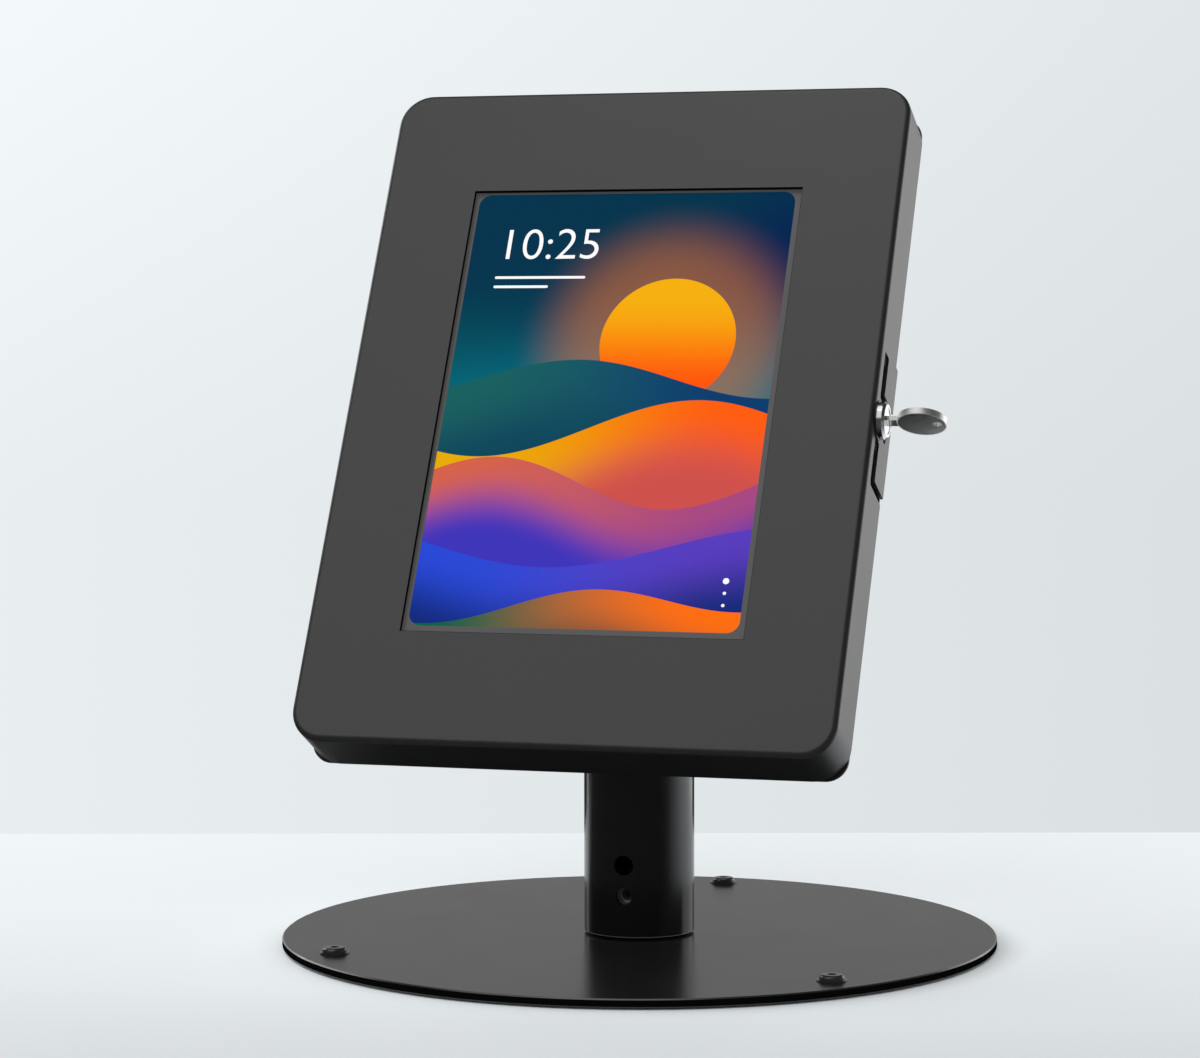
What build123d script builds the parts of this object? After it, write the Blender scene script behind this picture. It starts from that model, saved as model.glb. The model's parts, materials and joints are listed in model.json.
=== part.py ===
"""Tablet security kiosk stand: a round base, a post, a tilting head and a lockable enclosure round a tablet.

Lengths in mm, +Z up, the front faces -Y. The origin is on the floor under the middle of the post.
"""
import math
import os

from build123d import *

os.makedirs("parts", exist_ok=True)

# Clearances
overrun = 2.0
running_fit = 0.05
slip_gap = 0.1
free_gap = 0.3

# Base plate and its feet
base_radius = 172.5
base_thickness = 4.2
base_chamfer = 0.6
foot_thickness = 0.8
foot_radius = 9.0
foot_screw_inset = 17.5
foot_screw_angles = (-140.5, -39.5, 90.0)
foot_screw_radius = 2.5
foot_screw_flange_radius = 7.0
foot_screw_flange_thickness = 0.6
foot_screw_head_radius = 5.9
foot_screw_head_height = 2.9
foot_screw_head_round = 1.7
foot_screw_socket_radius = 2.3
foot_screw_socket_depth = 1.6
foot_screw_hole_radius = 2.8

# Post
post_radius = 26.65
post_wall = 2.0
post_length = 193.0
post_foot_bevel = 1.2
cable_hole_radius = 4.75
cable_hole_height = 35.9
lock_hole_radius = 4.0
lock_hole_height = 21.0

# Plug inside the foot of the post, with the screws that hold it
plug_height = 27.0
plug_bevel = 1.0
plug_bolt_circle = 15.0
plug_bolt_angles = (90.0, 210.0, 330.0)
plug_bolt_radius = 3.0
plug_bolt_head_radius = 5.6
plug_bolt_head_height = 2.6
plug_bolt_reach = 14.0
plug_bolt_socket_radius = 2.2
plug_bolt_socket_depth = 1.6
set_screw_radius = 3.0
set_screw_length = 9.0
set_screw_sink = 6.1
set_screw_socket_radius = 1.7
set_screw_socket_depth = 3.0

# Head on top of the post
cap_thickness = 4.0
cap_bevel = 1.0
spigot_length = 16.0
ear_thickness = 6.0
ear_radius = 14.0
cap_cable_radius = 4.0
head_screw_angles = (35.0, 145.0, 215.0, 325.0)
head_screw_drop = 8.0
head_screw_radius = 2.5
head_screw_length = 10.0
head_screw_head_radius = 4.5
head_screw_head_height = 2.2
head_screw_socket_radius = 1.7
head_screw_socket_depth = 1.2

# Tilt hinge, whose pivot is this far above the cap
ear_height = 29.9
tilt_rest = 27.75
tilt_bolt_radius = 5.0
tilt_head_radius = 8.0
tilt_head_height = 6.0
tilt_socket_radius = 4.4
tilt_socket_depth = 3.5
tilt_washer_radius = 10.0
tilt_washer_thickness = 2.0
tilt_nut_radius = 9.6
tilt_nut_height = 8.0
tilt_bolt_tail = 1.5
friction_washer_radius = 12.0
friction_washer_thickness = 1.2

# Head block between the hinge and the turntable
barrel_radius = 13.0
barrel_half_width = 11.5
neck_half_height = 11.0
flange_thickness = 5.0
flange_radius = 28.0
stub_radius = 11.0
stub_end_margin = 1.2
stub_bevel = 0.8
turn_range = 90.0
stop_pin_radius = 2.5
stop_pin_circle = 22.0
stop_pin_inset = 4.0
stop_pin_short = 0.5
thrust_washer_radius = 18.5
thrust_washer_thickness = 1.0
clamp_washer_radius = 17.0
clamp_washer_thickness = 1.8
clamp_nut_flats = 30.0
clamp_nut_height = 7.0

# Rotor plate
rotor_side = 116.0
rotor_thickness = 2.5
rotor_corner = 8.0
rotor_screw_spacing = 100.0
rotor_screw_radius = 2.0
rotor_screw_head_radius = 3.8
rotor_screw_head_height = 2.4
rotor_screw_socket_radius = 1.5
rotor_screw_socket_depth = 1.3

# Enclosure
lock_bay_width = 38.95
enclosure_height = 341.6
enclosure_depth = 30.5
enclosure_corner = 16.0
enclosure_edge_round = 2.8
pivot_to_face = 62.3
cover_sheet = 2.0
window_left_margin = 2.05
window_right_margin = 3.5
window_top_margin = 0.6
window_bottom_margin = 4.0
tab_top = 36.2
tab_depth = 4.1
tab_slope = 0.3

# L-shaped slots in the side walls, by the top of each run
slot_tops = (32.5, -11.0)
slot_depth = 11.0
slot_run_width = 8.2
slot_leg_width = 5.0
slot_corner_round = 2.3
slot_end_round = 0.8
cover_travel = 19.0
pin_collar_radius = 4.6
pin_collar_thickness = 1.2
pin_tail_radius = 1.75
pin_rivet_radius = 3.5
pin_rivet_thickness = 1.0
pin_recess = 0.9

# Rear tray
tray_sheet = 1.5
tray_corner = 10.0
tray_inset = 0.8
flange_front = 5.0
side_flange_gap = 5.2
side_flange_top = 150.0
side_flange_bottom = -140.0
top_flange_gap = 2.3
end_flange_half_width = 110.0
bottom_flange_gap = 2.8
charge_notch_width = 34.0
charge_notch_depth = 16.0
tray_cable_slot_length = 50.0
tray_cable_slot_width = 18.0
tray_cable_slot_up = -96.0

# Tablet with its clips
tablet_width = 179.5
tablet_height = 248.6
tablet_corner = 18.0
tablet_x = -1.36
tablet_up = 1.7
tablet_front = 2.9
tablet_case_thickness = 6.2
tablet_case_round = 2.0
tablet_glass_thickness = 0.8
bezel_side = 10.8
bezel_end = 10.85
screen_corner = 6.0
screen_sink = 0.05
foam_thickness = 2.0
foam_width = 140.0
foam_height = 34.0
foam_up_share = 0.34
backer_thickness = 2.0
backer_corner = 6.0
clip_sheet = 2.0
clip_length = 24.0
clip_foot = 9.0
clip_lip_thickness = 0.5
clip_lip_reach = 2.0
side_clip_up_share = 0.27
end_clip_x = 34.0
clip_screw_radius = 1.5
clip_screw_head_radius = 2.7
clip_screw_head_height = 1.6
clip_screw_socket_radius = 1.1
clip_screw_socket_depth = 0.8
standoff_radius = 4.0
standoff_x = 74.0
standoff_up = 104.0
backer_screw_radius = 2.0
backer_screw_reach = 8.0
backer_screw_head_radius = 3.7
backer_screw_socket_radius = 1.3
backer_screw_socket_depth = 1.0

# Lock and key
lock_up = -2.0
lock_depth = 9.6
lock_washer_radius = 9.4
lock_washer_thickness = 0.6
lock_head_radius = 8.8
lock_head_height = 3.6
lock_head_bevel = 1.2
lock_barrel_radius = 5.5
lock_barrel_length = 17.3
lock_nut_flats = 13.6
lock_nut_height = 3.0
plug_core_radius = 4.0
plug_core_tail = 1.2
plug_face_radius = 6.2
plug_face_thickness = 1.4
plug_face_sink = 0.3
keyway_length = 17.5
key_thickness = 2.2
key_blade_height = 6.2
key_engaged = 17.0
key_bow_radius = 11.3
key_bow_thickness = 3.0
key_bow_offset = 20.1
key_ring_hole_radius = 1.7
key_ring_hole_offset = 7.3
key_bow_bevel = 0.25
key_notch_count = 4
key_notch_depth = 1.1
key_tip_bevel = 1.6
cam_thickness = 2.0
cam_half_width = 4.5
cam_reach = 15.0
cam_screw_radius = 1.5
cam_screw_length = 5.5
cam_screw_head_radius = 3.0
cam_screw_head_height = 2.0
cam_screw_socket_radius = 1.2
cam_screw_socket_depth = 1.1
side_slot_up = -4.0
side_slot_depth = 23.6
side_slot_half_width = 2.8
side_slot_rise = 5.0

# Catch that the cam meets when it is locked
catch_gap = 1.0
catch_sheet = 2.0
catch_width = 12.0
catch_front = 17.0
catch_foot = 16.0
catch_screw_shares = (0.3, 0.75)
catch_screw_radius = 1.5
catch_screw_head_radius = 2.7
catch_screw_head_height = 1.8
catch_screw_socket_radius = 1.1
catch_screw_socket_depth = 0.9
catch_screw_tail_gap = 0.2

# Sizes that follow from those above
base_top = foot_thickness + base_thickness
foot_screw_circle = base_radius - foot_screw_inset
post_bore = post_radius - post_wall
post_top = base_top + post_length
cap_top = post_top + cap_thickness
pivot_z = cap_top + ear_height
ear_inner = barrel_half_width + friction_washer_thickness
ear_outer = ear_inner + ear_thickness
tilt = math.radians(tilt_rest)
face_normal = Vector(0, -math.cos(tilt), math.sin(tilt))
face_up = Vector(0, math.sin(tilt), math.cos(tilt))
face_centre = Vector(0, 0, pivot_z) + face_normal * pivot_to_face
face_plane = Plane(origin=face_centre, x_dir=(1, 0, 0), z_dir=face_normal)
screen_width = tablet_width - 2 * bezel_side
screen_height = tablet_height - 2 * bezel_end
window_x = (tablet_x - screen_width / 2 - window_left_margin, tablet_x + screen_width / 2 + window_right_margin)
window_low = tablet_up - screen_height / 2 - window_bottom_margin
window_high = tablet_up + screen_height / 2 + window_top_margin
enclosure_width = tablet_width + 2 * lock_bay_width
half_width = enclosure_width / 2
side_flange_x = half_width - cover_sheet - side_flange_gap
half_height = enclosure_height / 2
wall_inner = half_width - cover_sheet
tray_front = enclosure_depth + free_gap
tray_back = tray_front + tray_sheet
rotor_front_face = pivot_to_face - tray_back
rotor_back_face = rotor_front_face - rotor_thickness
flange_front_face = rotor_back_face - thrust_washer_thickness
flange_back = flange_front_face - flange_thickness
clamp_washer_back = rotor_front_face + tray_sheet
clamp_nut_back = clamp_washer_back + clamp_washer_thickness
stub_end = clamp_nut_back + clamp_nut_height + stub_end_margin
pin_radius = slot_leg_width / 2 - free_gap
pin_depth = slot_run_width - 2 * free_gap
pin_ups = [top - pin_radius - free_gap for top in slot_tops]
bend_ups = [up - cover_travel for up in pin_ups]
tab_bottom = bend_ups[-1] + slot_leg_width / 2
case_front = tablet_front + tablet_glass_thickness
case_back = case_front + tablet_case_thickness
backer_front = case_back + foam_thickness
backer_back = backer_front + backer_thickness
clip_inner_x = tablet_width / 2 + free_gap
clip_inner_up = tablet_height / 2 + free_gap
backer_half_width = clip_inner_x + clip_sheet + clip_foot
backer_half_height = clip_inner_up + clip_sheet + clip_foot
lock_seat = half_width + lock_washer_thickness
lock_face = lock_seat + lock_head_height
barrel_end = lock_seat - lock_barrel_length
plug_face = lock_face - plug_face_sink
plug_end = barrel_end - plug_core_tail
catch_up = lock_up + cam_half_width + catch_gap


def face_axis(x, up, depth):
    """Plane parallel to the enclosure's face, with its normal out of the face."""
    return Plane(origin=face_plane.from_local_coords((x, up, -depth)), x_dir=(1, 0, 0), z_dir=face_normal)


def side_axis(x, up, depth, facing=1):
    """Plane square to the left-right line; local x runs up the face."""
    return Plane(origin=face_plane.from_local_coords((x, up, -depth)), x_dir=face_up, z_dir=(facing, 0, 0))


def head_axis(distance):
    """Plane parallel to the face, this far in front of the tilt hinge."""
    return face_axis(0, 0, pivot_to_face - distance)


def standing(plane, radius, length, mode=Mode.ADD):
    """Cylinder on a plane, along its normal, or behind it where the length is negative."""
    side = Align.MIN if length > 0 else Align.MAX
    with Locations(plane):
        Cylinder(radius, abs(length), align=(Align.CENTER, Align.CENTER, side), mode=mode)


def panel_box(x_range, up_range, depth_range, mode=Mode.ADD):
    """Box between two places across, up and behind the enclosure's face."""
    ranges = (x_range, up_range, depth_range)
    middle = [(start + end) / 2 for start, end in ranges]
    sides = [abs(end - start) for start, end in ranges]
    with Locations(face_axis(*middle)):
        Box(*sides, mode=mode)


def socket(plane, radius, depth):
    """Hexagonal socket sunk behind a plane."""
    with BuildSketch(plane) as profile:
        RegularPolygon(radius, side_count=6)
    extrude(profile.sketch, amount=-depth, mode=Mode.SUBTRACT)


def screw(plane, radius, length, head_radius, head_height, socket_radius, socket_depth):
    """Screw with its head on the plane and its shank behind it."""
    standing(plane, head_radius, head_height)
    standing(plane, radius, -length)
    socket(plane.offset(head_height), socket_radius, socket_depth)


def flat_head_screw(plane, radius, reach, head_radius, head_height, socket_radius, socket_depth):
    """Countersunk screw whose flat head ends on the plane, with its shank behind it."""
    with Locations(plane):
        Cone(radius, head_radius, head_height, align=(Align.CENTER, Align.CENTER, Align.MAX))
    standing(plane.offset(-head_height), radius, -reach)
    socket(plane, socket_radius, socket_depth)


def countersink(plane, radius, head_radius, head_height, reach):
    """Hole for a countersunk screw whose head ends on the plane."""
    behind = (Align.CENTER, Align.CENTER, Align.MAX)
    with Locations(plane):
        Cone(radius, head_radius, head_height, align=behind, mode=Mode.SUBTRACT)
    standing(plane, radius, -reach, Mode.SUBTRACT)


def on_circle(radius, angle):
    """Point on a circle about the post's axis."""
    return radius * math.cos(math.radians(angle)), radius * math.sin(math.radians(angle))


def radial_plane(radius, angle, height):
    """Plane square to a radius of the post, facing outward."""
    x, y = on_circle(radius, angle)
    return Plane(origin=(x, y, height), x_dir=(0, 0, 1), z_dir=(x, y, 0))


def down_plane(x, y, z):
    """Level plane that faces down."""
    return Plane(origin=(x, y, z), x_dir=(1, 0, 0), z_dir=(0, 0, -1))


def save(builder, name):
    """Labels a finished piece and writes it."""
    builder.part.label = name
    export_step(builder.part, f"parts/{name}.step")


# Base plate
foot_points = [on_circle(foot_screw_circle, angle) for angle in foot_screw_angles]
plug_points = [on_circle(plug_bolt_circle, angle) for angle in plug_bolt_angles]
with BuildPart() as base_plate:
    with BuildSketch(Plane.XY.offset(foot_thickness)):
        Circle(base_radius)
    extrude(amount=base_thickness)
    chamfer(base_plate.edges(), length=base_chamfer)
    for x, y in foot_points:
        standing(Plane((x, y, foot_thickness)), foot_screw_hole_radius, base_thickness, Mode.SUBTRACT)
    for x, y in plug_points:
        hole_plane = down_plane(x, y, foot_thickness)
        hole_radii = (plug_bolt_radius + slip_gap, plug_bolt_head_radius + slip_gap)
        countersink(hole_plane, *hole_radii, plug_bolt_head_height, base_thickness)
save(base_plate, "base_plate")

with BuildPart() as base_feet:
    for x, y in foot_points:
        standing(Plane((x, y, 0)), foot_radius, foot_thickness)
        standing(Plane((x, y, 0)), foot_screw_radius + slip_gap, foot_thickness, Mode.SUBTRACT)
save(base_feet, "base_feet")

with BuildPart() as base_screws:
    for x, y in foot_points:
        standing(Plane((x, y, base_top)), foot_screw_head_radius, foot_screw_head_height)
    top_rims = base_screws.edges().group_by(Axis.Z)[-1]
    fillet(top_rims, radius=foot_screw_head_round)
    for x, y in foot_points:
        standing(Plane((x, y, base_top)), foot_screw_flange_radius, foot_screw_flange_thickness)
    for x, y in foot_points:
        standing(Plane((x, y, base_top)), foot_screw_radius, free_gap - base_top)
        head_top = Plane((x, y, base_top + foot_screw_head_height))
        socket(head_top, foot_screw_socket_radius, foot_screw_socket_depth)
save(base_screws, "base_screws")

# Plug that the post slides over
with BuildPart() as foot_plug:
    standing(Plane((0, 0, base_top)), post_bore - slip_gap, plug_height)
    chamfer(foot_plug.edges().group_by(Axis.Z)[-1], length=plug_bevel)
    for x, y in plug_points:
        hole_length = plug_bolt_reach + slip_gap
        standing(Plane((x, y, base_top)), plug_bolt_radius + slip_gap, hole_length, Mode.SUBTRACT)
    set_screw_plane = radial_plane(post_bore - set_screw_sink, -90, base_top + lock_hole_height)
    standing(set_screw_plane, set_screw_radius + slip_gap, -set_screw_length - slip_gap, Mode.SUBTRACT)
    standing(set_screw_plane, lock_hole_radius, set_screw_sink + overrun, Mode.SUBTRACT)
save(foot_plug, "foot_plug")

with BuildPart() as plug_bolts:
    for x, y in plug_points:
        head_plane = down_plane(x, y, foot_thickness)
        reach = base_thickness - plug_bolt_head_height + plug_bolt_reach
        flat_head_screw(head_plane, plug_bolt_radius, reach, plug_bolt_head_radius, plug_bolt_head_height,
                        plug_bolt_socket_radius, plug_bolt_socket_depth)
save(plug_bolts, "plug_bolts")

with BuildPart() as post_set_screw:
    standing(set_screw_plane, set_screw_radius, -set_screw_length)
    socket(set_screw_plane, set_screw_socket_radius, set_screw_socket_depth)
save(post_set_screw, "post_set_screw")

# Post
head_screw_z = post_top - head_screw_drop
side_cut = post_wall + 2 * overrun
with BuildPart() as post_tube:
    with BuildSketch(Plane.XY.offset(base_top)):
        Circle(post_radius)
    extrude(amount=post_length)
    chamfer(post_tube.edges().group_by(Axis.Z)[0], length=post_foot_bevel)
    standing(Plane((0, 0, base_top)), post_bore, post_length, Mode.SUBTRACT)
    for radius, height in ((cable_hole_radius, cable_hole_height), (lock_hole_radius, lock_hole_height)):
        hole_plane = radial_plane(post_radius + overrun, -90, base_top + height)
        standing(hole_plane, radius, -side_cut, Mode.SUBTRACT)
    for angle in head_screw_angles:
        hole_plane = radial_plane(post_radius + overrun, angle, head_screw_z)
        standing(hole_plane, head_screw_radius + slip_gap, -side_cut, Mode.SUBTRACT)
save(post_tube, "post_tube")

# Head on the post, with two ears for the hinge
with BuildPart() as post_head:
    standing(Plane((0, 0, post_top)), post_radius, cap_thickness)
    chamfer(post_head.edges().group_by(Axis.Z)[-1], length=cap_bevel)
    standing(Plane((0, 0, post_top)), post_bore - slip_gap, -spigot_length)
    for side in (-1, 1):
        with BuildSketch(Plane.YZ.offset(side * ear_inner)):
            with Locations((0, pivot_z)):
                Circle(ear_radius)
            with Locations((0, cap_top)):
                Rectangle(2 * ear_radius, pivot_z - cap_top, align=(Align.CENTER, Align.MIN))
        extrude(amount=side * ear_thickness)
    bolt_hole_plane = Plane(origin=(-ear_outer, 0, pivot_z), z_dir=(1, 0, 0))
    standing(bolt_hole_plane, tilt_bolt_radius + slip_gap, 2 * ear_outer, Mode.SUBTRACT)
    cable_hole_plane = Plane((0, (ear_radius + post_bore) / 2, cap_top))
    standing(cable_hole_plane, cap_cable_radius, -cap_thickness - spigot_length, Mode.SUBTRACT)
    for angle in head_screw_angles:
        hole_plane = radial_plane(post_bore - slip_gap, angle, head_screw_z)
        standing(hole_plane, head_screw_radius + slip_gap, post_wall - head_screw_length, Mode.SUBTRACT)
save(post_head, "post_head")

with BuildPart() as head_screws:
    for angle in head_screw_angles:
        screw(radial_plane(post_radius, angle, head_screw_z), head_screw_radius, head_screw_length,
              head_screw_head_radius, head_screw_head_height,
              head_screw_socket_radius, head_screw_socket_depth)
save(head_screws, "head_screws")

# Tilt hinge
right_ear = Plane(origin=(ear_outer, 0, pivot_z), z_dir=(1, 0, 0))
left_ear = Plane(origin=(-ear_outer, 0, pivot_z), z_dir=(-1, 0, 0))
bolt_seat = right_ear.offset(tilt_washer_thickness)
bolt_length = 2 * ear_outer + 2 * tilt_washer_thickness + tilt_nut_height + tilt_bolt_tail
with BuildPart() as tilt_bolt:
    screw(bolt_seat, tilt_bolt_radius, bolt_length,
          tilt_head_radius, tilt_head_height, tilt_socket_radius, tilt_socket_depth)
save(tilt_bolt, "tilt_bolt")

with BuildPart() as tilt_washers:
    for ear in (left_ear, right_ear):
        standing(ear, tilt_washer_radius, tilt_washer_thickness)
        standing(ear, tilt_bolt_radius + slip_gap, tilt_washer_thickness, Mode.SUBTRACT)
save(tilt_washers, "tilt_washers")

with BuildPart() as tilt_nut:
    with BuildSketch(left_ear.offset(tilt_washer_thickness)):
        RegularPolygon(tilt_nut_radius, side_count=6)
        Circle(tilt_bolt_radius + slip_gap, mode=Mode.SUBTRACT)
    extrude(amount=tilt_nut_height)
save(tilt_nut, "tilt_nut")

with BuildPart() as friction_washers:
    for side in (-1, 1):
        with BuildSketch(Plane.YZ.offset(side * barrel_half_width)):
            with Locations((0, pivot_z)):
                Circle(friction_washer_radius)
                Circle(tilt_bolt_radius + slip_gap, mode=Mode.SUBTRACT)
        extrude(amount=side * friction_washer_thickness)
save(friction_washers, "friction_washers")

# Head block: barrel on the hinge, neck, flange and stub
with BuildPart() as head_block:
    barrel_plane = Plane(origin=(-barrel_half_width, 0, pivot_z), z_dir=(1, 0, 0))
    standing(barrel_plane, barrel_radius, 2 * barrel_half_width)
    neck_depths = (pivot_to_face, pivot_to_face - flange_back)
    panel_box((-barrel_half_width, barrel_half_width), (-neck_half_height, neck_half_height), neck_depths)
    standing(head_axis(flange_back), flange_radius, flange_thickness)
    standing(head_axis(flange_front_face), stub_radius, stub_end - flange_front_face)
    front_rim = head_block.edges().sort_by(Axis((0, 0, pivot_z), face_normal))[-1]
    chamfer(front_rim, length=stub_bevel)
    standing(barrel_plane, tilt_bolt_radius + running_fit, 2 * barrel_half_width, Mode.SUBTRACT)
    pin_hole_plane = face_axis(0, -stop_pin_circle, pivot_to_face - flange_front_face)
    standing(pin_hole_plane, stop_pin_radius + slip_gap, -stop_pin_inset, Mode.SUBTRACT)
save(head_block, "head_block")

with BuildPart() as stop_pin:
    pin_start = face_axis(0, -stop_pin_circle, pivot_to_face - flange_front_face + stop_pin_inset)
    pin_reach = thrust_washer_thickness + rotor_thickness - stop_pin_short
    standing(pin_start, stop_pin_radius, stop_pin_inset + pin_reach)
save(stop_pin, "stop_pin")

with BuildPart() as thrust_washer:
    standing(head_axis(flange_front_face), thrust_washer_radius, thrust_washer_thickness)
    standing(head_axis(flange_front_face), stub_radius + slip_gap, thrust_washer_thickness, Mode.SUBTRACT)
save(thrust_washer, "thrust_washer")

with BuildPart() as clamp_washer:
    standing(head_axis(clamp_washer_back), clamp_washer_radius, clamp_washer_thickness)
    standing(head_axis(clamp_washer_back), stub_radius + slip_gap, clamp_washer_thickness, Mode.SUBTRACT)
save(clamp_washer, "clamp_washer")

with BuildPart() as clamp_nut:
    with BuildSketch(head_axis(clamp_nut_back)):
        RegularPolygon(clamp_nut_flats / 2, side_count=6, major_radius=False)
        Circle(stub_radius + slip_gap, mode=Mode.SUBTRACT)
    extrude(amount=clamp_nut_height)
save(clamp_nut, "clamp_nut")

# Rotor plate, screwed to the tray
rotor_points = [(x * rotor_screw_spacing / 2, y * rotor_screw_spacing / 2) for x in (-1, 1) for y in (-1, 1)]
end_play = math.degrees(free_gap / stop_pin_circle)
with BuildPart() as rotor_plate:
    with BuildSketch(head_axis(rotor_back_face)):
        RectangleRounded(rotor_side, rotor_side, rotor_corner)
        Circle(stub_radius + running_fit, mode=Mode.SUBTRACT)
        with Locations(*rotor_points):
            Circle(rotor_screw_radius + slip_gap, mode=Mode.SUBTRACT)
        with BuildLine(mode=Mode.PRIVATE) as stop_arc:
            CenterArc((0, 0), stop_pin_circle, -90 + end_play, -turn_range - 2 * end_play)
        SlotArc(stop_arc.edge(), 2 * (stop_pin_radius + free_gap), mode=Mode.SUBTRACT)
    extrude(amount=rotor_thickness)
save(rotor_plate, "rotor_plate")

with BuildPart() as rotor_screws:
    for x, up in rotor_points:
        screw(face_axis(x, up, tray_front), rotor_screw_radius, tray_sheet + rotor_thickness,
              rotor_screw_head_radius, rotor_screw_head_height,
              rotor_screw_socket_radius, rotor_screw_socket_depth)
save(rotor_screws, "rotor_screws")

# Rear tray
floor_half_width = half_width - tray_inset
floor_half_height = half_height - tray_inset
top_flange_up = half_height - cover_sheet - top_flange_gap
bottom_flange_up = -(half_height - cover_sheet - cover_travel - bottom_flange_gap)
standoff_shifts = [(x * standoff_x, up * standoff_up) for x in (-1, 1) for up in (-1, 1)]
standoff_points = [(tablet_x + x, tablet_up + up) for x, up in standoff_shifts]
catch_x = barrel_end - plug_core_tail - cam_thickness / 2
catch_screw_ups = [catch_up + catch_sheet + catch_foot * share for share in catch_screw_shares]
with BuildPart() as back_tray:
    with BuildSketch(face_axis(0, 0, tray_back)):
        RectangleRounded(2 * floor_half_width, 2 * floor_half_height, tray_corner)
        Circle(stub_radius + free_gap, mode=Mode.SUBTRACT)
        with Locations(*rotor_points):
            Circle(rotor_screw_radius + slip_gap, mode=Mode.SUBTRACT)
        with Locations(*[(catch_x, up) for up in catch_screw_ups]):
            Circle(catch_screw_radius + slip_gap, mode=Mode.SUBTRACT)
        with Locations((0, tray_cable_slot_up)):
            SlotOverall(tray_cable_slot_length, tray_cable_slot_width, mode=Mode.SUBTRACT)
    extrude(amount=tray_sheet)
    flange_depths = (flange_front, tray_front)
    end_flange_x = (-end_flange_half_width, end_flange_half_width)
    for side in (-1, 1):
        flange_x = (side * (side_flange_x - tray_sheet), side * side_flange_x)
        panel_box(flange_x, (side_flange_bottom, side_flange_top), flange_depths)
    panel_box(end_flange_x, (top_flange_up - tray_sheet, top_flange_up), flange_depths)
    panel_box(end_flange_x, (bottom_flange_up, bottom_flange_up + tray_sheet), flange_depths)
    charge_ups = (bottom_flange_up - overrun, bottom_flange_up + tray_sheet + overrun)
    charge_depths = (flange_front - overrun, flange_front + charge_notch_depth)
    panel_box((-charge_notch_width / 2, charge_notch_width / 2), charge_ups, charge_depths, Mode.SUBTRACT)
    notch_margin = lock_barrel_radius + catch_gap
    notch_x = (side_flange_x - tray_sheet - overrun, side_flange_x + overrun)
    notch_ups = (lock_up - notch_margin, lock_up + cover_travel + notch_margin)
    panel_box(notch_x, notch_ups, (flange_front - overrun, lock_depth + notch_margin), Mode.SUBTRACT)
    tab_x = (wall_inner - free_gap, half_width + overrun)
    tab_ups = (tab_bottom - free_gap, tab_top + cover_travel + catch_gap)
    panel_box(tab_x, tab_ups, (tray_front - overrun, tray_back + overrun), Mode.SUBTRACT)
    for side in (-1, 1):
        for up in pin_ups:
            hole_plane = side_axis(side * (side_flange_x + overrun), up, slot_depth, side)
            standing(hole_plane, pin_tail_radius + slip_gap, -tray_sheet - 2 * overrun, Mode.SUBTRACT)
save(back_tray, "back_tray")

with BuildPart() as slide_pins:
    for side in (-1, 1):
        for up in pin_ups:
            outer_face = side_axis(side * side_flange_x, up, slot_depth, side)
            standing(outer_face, pin_collar_radius, pin_collar_thickness)
            with BuildSketch(outer_face):
                SlotOverall(pin_depth, 2 * pin_radius, rotation=90)
            extrude(amount=half_width - pin_recess - side_flange_x)
            standing(outer_face, pin_tail_radius, -tray_sheet)
            standing(outer_face.offset(-tray_sheet), pin_rivet_radius, -pin_rivet_thickness)
save(slide_pins, "slide_pins")

# Catch for the lock's cam
with BuildPart() as catch_bracket:
    catch_range = (catch_x - catch_width / 2, catch_x + catch_width / 2)
    panel_box(catch_range, (catch_up, catch_up + catch_sheet), (catch_front, tray_front))
    foot_ups = (catch_up, catch_up + catch_sheet + catch_foot)
    panel_box(catch_range, foot_ups, (tray_front - catch_sheet, tray_front))
    for up in catch_screw_ups:
        hole_plane = face_axis(catch_x, up, tray_front)
        standing(hole_plane, catch_screw_radius + slip_gap, catch_sheet, Mode.SUBTRACT)
save(catch_bracket, "catch_bracket")

with BuildPart() as catch_screws:
    for up in catch_screw_ups:
        catch_screw_length = catch_sheet + tray_sheet - catch_screw_tail_gap
        screw(face_axis(catch_x, up, tray_front - catch_sheet), catch_screw_radius, catch_screw_length,
              catch_screw_head_radius, catch_screw_head_height,
              catch_screw_socket_radius, catch_screw_socket_depth)
save(catch_screws, "catch_screws")

# Carrier that holds the tablet
with BuildPart() as tablet_standoffs:
    for x, up in standoff_points:
        seat = face_axis(x, up, backer_back)
        standing(seat, standoff_radius, backer_back - tray_front)
        standing(seat, backer_screw_radius + slip_gap, -backer_screw_reach - slip_gap, Mode.SUBTRACT)
save(tablet_standoffs, "tablet_standoffs")

side_clip_up = tablet_height * side_clip_up_share
side_clips = [(side, 0, side * clip_inner_x, up * side_clip_up) for side in (-1, 1) for up in (-1, 1)]
end_clips = [(0, end, -end * end_clip_x, end * clip_inner_up) for end in (-1, 1)]
clips = [(across, along, tablet_x + x, tablet_up + up) for across, along, x, up in side_clips + end_clips]


def clip_points(clip, reach):
    """Middle of a clip's foot, this far out from the tablet's edge."""
    across, along, x, up = clip
    return x + across * reach, up + along * reach


clip_screw_points = [clip_points(clip, clip_sheet + clip_foot / 2) for clip in clips]
with BuildPart() as tablet_backer:
    with BuildSketch(face_axis(0, 0, backer_back)):
        with Locations((tablet_x, tablet_up)):
            RectangleRounded(2 * backer_half_width, 2 * backer_half_height, backer_corner)
        with Locations(*clip_screw_points):
            Circle(clip_screw_radius + slip_gap, mode=Mode.SUBTRACT)
    extrude(amount=backer_thickness)
    for x, up in standoff_points:
        hole_radii = (backer_screw_radius + slip_gap, backer_screw_head_radius + slip_gap)
        hole_plane = face_axis(x, up, backer_front)
        countersink(hole_plane, *hole_radii, backer_thickness - slip_gap, backer_thickness + overrun)
save(tablet_backer, "tablet_backer")

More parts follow.
